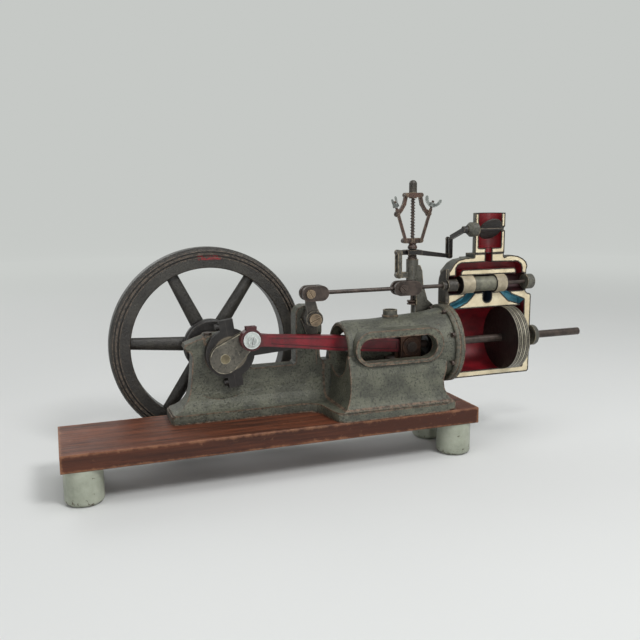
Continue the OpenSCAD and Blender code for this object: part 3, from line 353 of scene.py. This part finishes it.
def mahogany():
    """Oiled board: dark grain along its length, pores, rubbed arrises."""
    p = Paint("mahogany")
    p.bsdf.inputs["Specular IOR Level"].default_value = 0.28
    warp = p.noise(9.0, 3.0, 0.5, p.stretch(0.25, 1.0, 1.0))
    grain = p.noise(1.0, 6.0, 0.62, p.stretch(14.0, 330.0, 330.0))
    broad = p.noise(1.0, 4.0, 0.55, p.stretch(5.0, 60.0, 60.0))
    line = p.step(p.calc("ADD", p.calc("MULTIPLY", grain, 0.7), p.calc("MULTIPLY", broad, 0.35)), 0.38, 0.66)
    colour = p.mix(line, tone(48, 24, 15), tone(122, 68, 44))
    colour = p.mix(p.step(warp, 0.4, 0.65), colour, tone(86, 46, 31))
    normal = p.add("ShaderNodeTexCoord").outputs["Normal"]
    # painted shade: faces that do not point up are darkened in the colour
    side = p.step(p.axis("Z", normal), 0.75, 0.35)
    colour = p.mix(p.calc("MULTIPLY", side, 0.5), colour, tone(44, 22, 15))
    pores = p.step(p.noise(1.0, 2.0, 0.5, p.stretch(90.0, 1500.0, 1500.0)), 0.62, 0.72)
    colour = p.mix(p.calc("MULTIPLY", pores, 0.7), colour, tone(40, 20, 16))
    rubbed = p.edges(0.0036, 0.10, 0.36, 1.2, 130.0)
    colour = p.mix(p.calc("MULTIPLY", rubbed, 0.6), colour, tone(152, 106, 76))
    dents = p.step(p.noise(110.0, 5.0, 0.7), 0.70, 0.76)
    colour = p.mix(p.calc("MULTIPLY", dents, 0.6), colour, tone(60, 32, 26))
    p.bump(grain, 0.00025, 0.7)
    p.bump(p.calc("SUBTRACT", 1.0, pores), 0.00012, 0.8)
    return p.finish(colour, (p.noise(60.0, 4.0, 0.6), 0.36, 0.62))


def mint_enamel():
    """Thick pale green gloss on the feet, chipped to dark rust at the lower rim."""
    p = Paint("mint_enamel")
    colour = mottled(p, tone(172, 176, 160), tone(142, 147, 131), 40.0)
    low = p.step(p.axis("Z"), 0.012, 0.001)
    spots = p.calc("ADD", p.noise(230.0, 6.0, 0.7), p.calc("MULTIPLY", low, 0.12))
    chip = p.step(spots, 0.665, 0.69)
    colour = p.mix(chip, colour, p.mix(p.noise(500.0), tone(40, 34, 26), tone(104, 84, 62)))
    # painted shade: corners darkened from an occlusion mask
    colour = p.mix(p.calc("MULTIPLY", p.step(p.shade(0.01, False), 0.3, 1.0), 0.5), colour, tone(92, 92, 78))
    p.bump(p.calc("SUBTRACT", 1.0, chip), 0.00025)
    p.bump(p.noise(180.0, 2.0), 0.0002, 0.5)
    return p.finish(colour, (p.calc("MAXIMUM", chip, p.noise(90.0)), 0.2, 0.6))


def lined_enamel(name, light, dark, line, width=0.0017, chips=0.66):
    """Hand painted face with a dark painted outline and chipped spots."""
    p = Paint(name)
    colour = mottled(p, light, dark, 70.0)
    crack = p.step(p.cells(330.0), 0.055, 0.0)
    colour = p.mix(p.calc("MULTIPLY", crack, 0.35), colour, scaled(dark, 0.4))
    outline = p.edges(width, 0.05, 0.13, 0.36, 300.0)
    speck = p.step(p.noise(260.0, 6.0, 0.72), chips, chips + 0.02)
    mark = p.calc("MAXIMUM", outline, speck)
    colour = p.mix(mark, colour, p.mix(p.step(p.noise(240.0), 0.45, 0.6), line, scaled(line, 2.2)))
    p.bump(p.calc("SUBTRACT", 1.0, mark), 0.00015)
    p.bump(p.noise(420.0, 3.0), 0.00012, 0.6)
    return p.finish(colour, (p.noise(160.0, 4.0), 0.3, 0.55))


def section_cream():
    return lined_enamel("section_cream", tone(236, 224, 192), tone(206, 190, 156), tone(30, 24, 20))


def duct_red():
    return lined_enamel("duct_red", tone(140, 22, 32), tone(98, 16, 22), tone(22, 12, 12), 0.001, 0.72)


def bore_red():
    return lined_enamel("bore_red", tone(126, 20, 30), tone(84, 12, 20), tone(20, 8, 8), 0.0006, 0.74)


def port_blue():
    return lined_enamel("port_blue", tone(112, 186, 204), tone(78, 136, 152),
                        tone(18, 26, 30), 0.0009, 0.70)


def exhaust_blue():
    return lined_enamel("exhaust_blue", tone(34, 48, 64), tone(18, 24, 34),
                        tone(10, 10, 12), 0.0007, 0.74)


def valve_bore_dark():
    return lined_enamel("valve_bore_dark", tone(58, 18, 22), tone(26, 12, 14),
                        tone(12, 8, 8), 0.0006, 0.72)


def block_green():
    return painted_iron("block_green", tone(92, 94, 84), tone(60, 62, 55), tone(140, 124, 100), 0.00016)


def rod_red():
    """Crimson gloss rod: bright raised edges, web darkened by painted shade, darker towards both ends."""
    p = Paint("rod_red")
    colour = mottled(p, tone(132, 16, 32), tone(84, 14, 24), 60.0)
    # painted shade: the web and other recesses darkened from an occlusion mask
    colour = p.mix(p.step(p.shade(0.004, False), 0.06, 0.4), colour, tone(56, 12, 18))
    # darker towards both ends of the rod
    ends = p.calc("MAXIMUM", p.step(p.axis("X"), -0.079, -0.094), p.step(p.axis("X"), 0.062, 0.068))
    colour = p.mix(p.calc("MULTIPLY", ends, 0.72), colour, tone(56, 30, 30))
    rubbed = p.edges(0.0009, 0.12, 0.4, 0.6, 260.0)
    colour = p.mix(p.calc("MULTIPLY", rubbed, 0.65), colour, tone(66, 24, 26))
    p.bump(p.noise(500.0, 3.0), 0.0001, 0.6)
    return p.finish(colour, (p.noise(170.0, 4.0), 0.25, 0.5))


def sheave_cream():
    return lined_enamel("sheave_cream", tone(136, 126, 108), tone(96, 88, 74),
                        tone(28, 24, 20), 0.0008, 0.66)


def spool_cream():
    return lined_enamel("spool_cream", tone(190, 178, 152), tone(136, 126, 106),
                        tone(30, 26, 22), 0.0007, 0.64)


def spool_waist():
    return steel("spool_waist", tone(126, 124, 108),
                 tone(86, 86, 76), 0.2, (0.35, 0.6), (500.0, 900.0, 900.0))


def near_black():
    return painted_iron("near_black", tone(40, 34, 30), tone(20, 17, 16),
                        tone(70, 60, 50), 0.0001, 0.0006)


def piston_rim():
    """Turned metal of the piston rim and its rings, with a dark line along every edge."""
    p = Paint("piston_rim", metallic=0.4)
    colour = mottled(p, tone(188, 182, 164), tone(132, 126, 110), 90.0)
    stain = p.step(p.noise(140.0, 5.0, 0.7), 0.60, 0.66)
    lines = p.edges(0.0009, 0.06, 0.2, 0.3, 500.0)
    mark = p.calc("MAXIMUM", lines, p.calc("MULTIPLY", stain, 0.7))
    colour = p.mix(mark, colour, tone(24, 20, 18))
    p.bump(p.calc("SUBTRACT", 1.0, lines), 0.0001)
    p.bump(p.noise(1.0, 2.0, 0.5, p.stretch(1200.0, 60.0, 60.0)), 0.00006, 0.7)
    return p.finish(colour, (p.noise(200.0), 0.28, 0.5))


def shaft_end():
    """Turned end of the crank shaft in brass-tinted steel."""
    return steel("shaft_end", tone(132, 122, 96),
                 tone(84, 76, 60), 0.5, (0.3, 0.5), (900.0, 900.0, 900.0))


# ---------------------------------------------------------------- putting materials on nodes
GROUPS = {
    mahogany: ["base_board"],
    mint_enamel: ["board_feet"],
    bed_paint: ["bed_casting", "guide_casting", "bearing_cap", "cylinder_cover"],
    bracket_paint: ["governor_bracket", "swing_link"],
    cap_paint: ["rear_gland", "valve_rear_cap", "throttle_gland", "guide_oil_cup"],
    iron_dark: ["rocker_lever", "chest_cover", "governor_cap_nut"],
    iron_rusty: ["governor_crosspiece", "governor_pulley", "governor_sleeve", "upper_link_left",
                 "upper_link_right", "lower_arm_left", "lower_arm_right"],
    wheel_paint: ["flywheel"],
    black_paint: ["governor_drive_pulley", "governor_lever", "throttle_link", "throttle_arm"],
    near_black: ["throttle_butterfly", "front_gland"],
    web_paint: ["crank_web"],
    rod_red: ["connecting_rod"],
    steel_brown: ["bearing_cap_screws", "flange_screws", "crosshead_pin", "piston_rod", "valve_link",
                  "valve_rod", "valve_fork_pin", "governor_spindle", "governor_spring", "crankshaft"],
    steel_strap: ["eccentric_strap", "eccentric_strap_cap", "eccentric_bolts"],
    piston_rim: ["piston_rings"],
    zinc: ["crank_pin_screw", "crank_pin_washer"],
    zinc_dull: ["wing_nut_left", "wing_nut_right"],
    brass_old: ["main_bearing", "rocker_pivot_screw", "rocker_top_screw"],
    crosshead_bronze: ["crosshead"],
    sheave_cream: ["eccentric_sheave"],
}


def set_materials(name, materials, choose=None):
    """Give a node its materials; choose(centre, normal) picks one for each face."""
    mesh = NODES[name].data
    mesh.materials.clear()
    for material in materials:
        mesh.materials.append(material)
    if choose is None:
        return
    for face in mesh.polygons:
        centre = face.center / MM - SHIFT
        face.material_index = choose(centre, face.normal)


AXIS_Y, AXIS_Z = 44.5, 108.6
VALVE_Z = 142.0 + 26.0 * math.cos(math.radians(11.0))
CREAM, BORE, DUCT, PORT, EXHAUST, VALVE, OUTSIDE = range(7)


def near(value, target, slack=0.06):
    return abs(value - target) < slack


def block_face(c, n):
    """Which colour a face of the sectioned cylinder block has."""
    r_bore = math.hypot(c.y - AXIS_Y, c.z - AXIS_Z)
    r_valve = math.hypot(c.y - AXIS_Y, c.z - VALVE_Z)
    if near(c.y, AXIS_Y) and n.y < -0.9:
        return CREAM
    if r_bore < 33.9 and 384.0 < c.x < 480.6:
        return BORE
    if r_valve < 9.6 and 380.0 < c.x < 479.6:
        return VALVE
    if c.y < AXIS_Y + 12.2 and c.z > VALVE_Z + 7.0:
        if 396.2 < c.x < 476.3 and c.z < 190.2 or 430.8 < c.x < 438.6:
            return DUCT
    if c.y < AXIS_Y + 14.2 and 429.2 < c.x < 439.6 and 147.0 < c.z < VALVE_Z:
        return EXHAUST
    if c.y < AXIS_Y + 13.2 and 137.6 < c.z < 162.5:
        if 389.7 < c.x < 419.8 or 450.1 < c.x < 480.3:
            return PORT
    if c.x > 480.0 and r_bore < 6.0:
        return BORE
    return OUTSIDE


def housing_face(c, n):
    """Cream section, red chamber, dark outside of the throttle housing."""
    if near(c.y, AXIS_Y) and n.y < -0.9:
        return 0
    radius = math.hypot(c.x - 435.8, c.y - AXIS_Y)
    if radius < 13.7 and 200.0 < c.z < 240.5:
        return 1
    return 3 if c.z > 240.5 else 2


def spool_face(c, n):
    """Pale lands, grey waist, dark ends of the valve spool."""
    if abs(n.x) > 0.9:
        return 2
    return 0 if math.hypot(c.y - AXIS_Y, c.z - VALVE_Z) > 8.0 else 1


def piston_face(c, n):
    return 0 if abs(n.x) > 0.9 else 1


def shaft_face(c, n):
    return 1 if c.y < 56.0 else 0


def dress():
    for make, names in GROUPS.items():
        material = make()
        for name in names:
            set_materials(name, [material])
    black = NODES["front_gland"].data.materials[0]
    set_materials("cylinder_block", [section_cream(), bore_red(), duct_red(), port_blue(), exhaust_blue(),
                                     valve_bore_dark(), block_green()], block_face)
    set_materials("throttle_housing", [section_cream(), duct_red(), block_green(), black], housing_face)
    set_materials("valve_spool", [spool_cream(), spool_waist(), black], spool_face)
    set_materials("piston", [black, NODES["piston_rings"].data.materials[0]], piston_face)
    set_materials("crankshaft", [steel_brown(), shaft_end()], shaft_face)


# ---------------------------------------------------------------- governor spring
def wind_spring(name="governor_coil", coils=13, wire=0.0004, around=8, per_coil=18):
    """Round-wire coil in the space of the CAD spring, carried rigidly with the governor body."""
    low, high = (Vector(corner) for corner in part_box("governor_spring"))
    centre = (low + high) / 2
    mean = (high.x - low.x) / 2 - wire
    start, rise = low.z + wire, high.z - low.z - 2 * wire
    count = coils * per_coil
    verts, faces = [], []
    for i in range(count + 1):
        turn = 2 * math.pi * i / per_coil
        out = Vector((math.cos(turn), math.sin(turn), 0.0))
        middle = Vector((centre.x, centre.y, start + rise * i / count)) + out * mean
        for k in range(around):
            a = 2 * math.pi * k / around
            verts.append(middle + out * (wire * math.cos(a)) + Vector((0.0, 0.0, wire * math.sin(a))))
    for i in range(count):
        for k in range(around):
            n = (k + 1) % around
            faces.append((i * around + k, i * around + n, (i + 1) * around + n, (i + 1) * around + k))
    faces.append(tuple(range(around - 1, -1, -1)))
    faces.append(tuple(count * around + k for k in range(around)))
    mesh = bpy.data.meshes.new(name)
    mesh.from_pydata(verts, [], faces)
    mesh.polygons.foreach_set("use_smooth", [True] * len(faces))
    mesh.materials.append(NODES["governor_spindle"].data.materials[0])
    coil = bpy.data.objects.new(name, mesh)
    scene.collection.objects.link(coil)
    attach(coil, "governor")
    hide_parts("governor_spring")
    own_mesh(coil)


# ---------------------------------------------------------------- backdrop
def backdrop_paint():
    """Pale matt paper near the engine that fades into an evenly lit pale surround."""
    p = Paint("backdrop", roughness=0.8)
    paper = p.mix(p.noise(3.0, 3.0), tone(218, 220, 219), tone(223, 224, 223))
    length = p.add("ShaderNodeVectorMath", operation="LENGTH")
    p.put(length.inputs[0], p.stretch(1.0, 1.0, 0.0))
    far = p.step(length.outputs["Value"], 0.30, 2.2)
    p.bsdf.inputs["Specular IOR Level"].default_value = 0.2
    p.bsdf.inputs["Emission Strength"].default_value = 1.0
    p.put(p.bsdf.inputs["Emission Color"], p.mix(far, (0.0, 0.0, 0.0, 1.0), tone(197, 200, 197)))
    p.bump(p.noise(900.0, 2.0), 0.00004, 0.4)
    return p.finish(p.mix(far, paper, (0.0, 0.0, 0.0, 1.0)))


def turned_sheet(name, profile, material, sides=96):
    """Smooth sheet turned about the z axis from (radius, height) points."""
    verts, faces = [], []
    for radius, height in profile:
        for k in range(sides):
            a = 2 * math.pi * k / sides
            verts.append((radius * math.cos(a), radius * math.sin(a), height))
    for i in range(len(profile) - 1):
        for k in range(sides):
            n = (k + 1) % sides
            faces.append((i * sides + k, i * sides + n, (i + 1) * sides + n, (i + 1) * sides + k))
    mesh = bpy.data.meshes.new(name)
    mesh.from_pydata(verts, [], faces)
    mesh.polygons.foreach_set("use_smooth", [True] * len(faces))
    mesh.materials.append(material)
    sheet = bpy.data.objects.new(name, mesh)
    scene.collection.objects.link(sheet)
    return sheet


def make_backdrop(edge=2.6, bend=0.8, height=3.5, steps=16):
    """Round floor and a round wall that grows out of it, the same from every side."""
    material = backdrop_paint()
    turned_sheet("floor", [(0.0001, 0.0), (edge, 0.0)], material)
    turns = [math.pi / 2 * i / steps for i in range(steps + 1)]
    profile = [(edge + bend * math.sin(t), bend - bend * math.cos(t)) for t in turns]
    wall = turned_sheet("wall", profile + [(edge + bend, height)], material)
    # the wall is only seen: the studio's light passes it
    wall.visible_diffuse = False
    wall.visible_shadow = False


make_camera()
make_light()
dress()
wind_spring()
make_backdrop()
